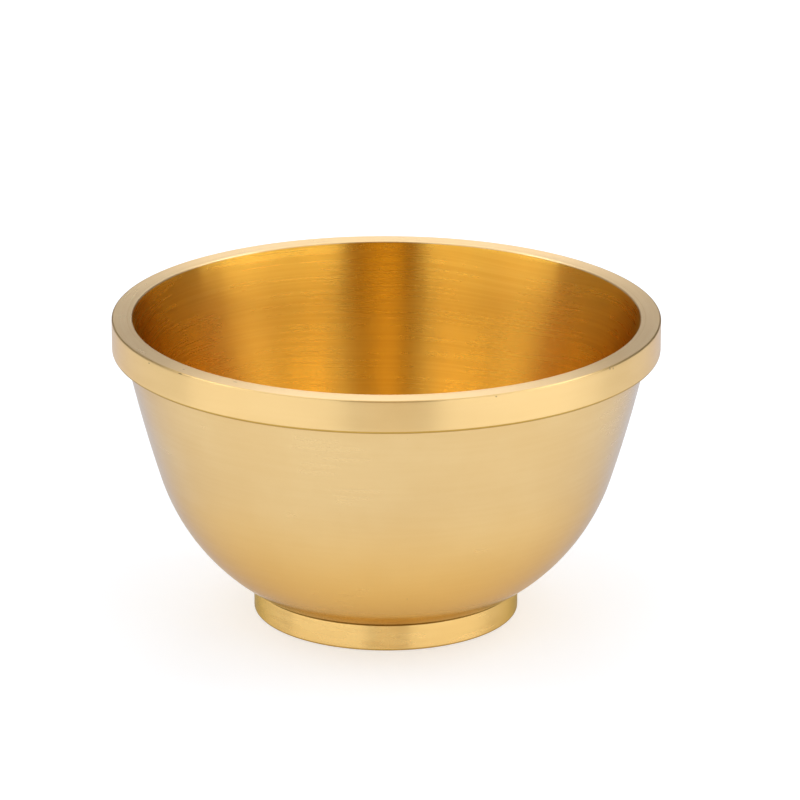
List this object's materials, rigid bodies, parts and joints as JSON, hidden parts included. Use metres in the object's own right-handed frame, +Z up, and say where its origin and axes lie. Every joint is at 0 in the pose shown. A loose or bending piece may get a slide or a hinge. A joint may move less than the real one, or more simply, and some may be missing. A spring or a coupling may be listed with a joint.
{
  "type": "offering bowl",
  "caption": "Deep turned brass offering bowl with a proud polished rim band, a gently bowed wall, a rounded belly and a short foot ring to stand on.",
  "frame": {"origin": "centre of the foot's underside, on the bowl's axis", "axes": "+Z up along the bowl's axis; X and Y are free, because the bowl is turned"},
  "size_m": [0.08, 0.08, 0.045],
  "materials": {
    "bowl_brass": "satin, turned and finely brushed round the axis",
    "rim_brass": "polished",
    "foot_brass": "polished, with fine turning lines",
    "solder": "satin solder line"
  },
  "bodies": {
    "root": {"bowl_shell": "bowl_brass", "rim_band": "rim_brass", "foot_ring": "foot_brass", "rim_solder": "solder", "foot_solder": "solder"}
  },
  "joints": []
}
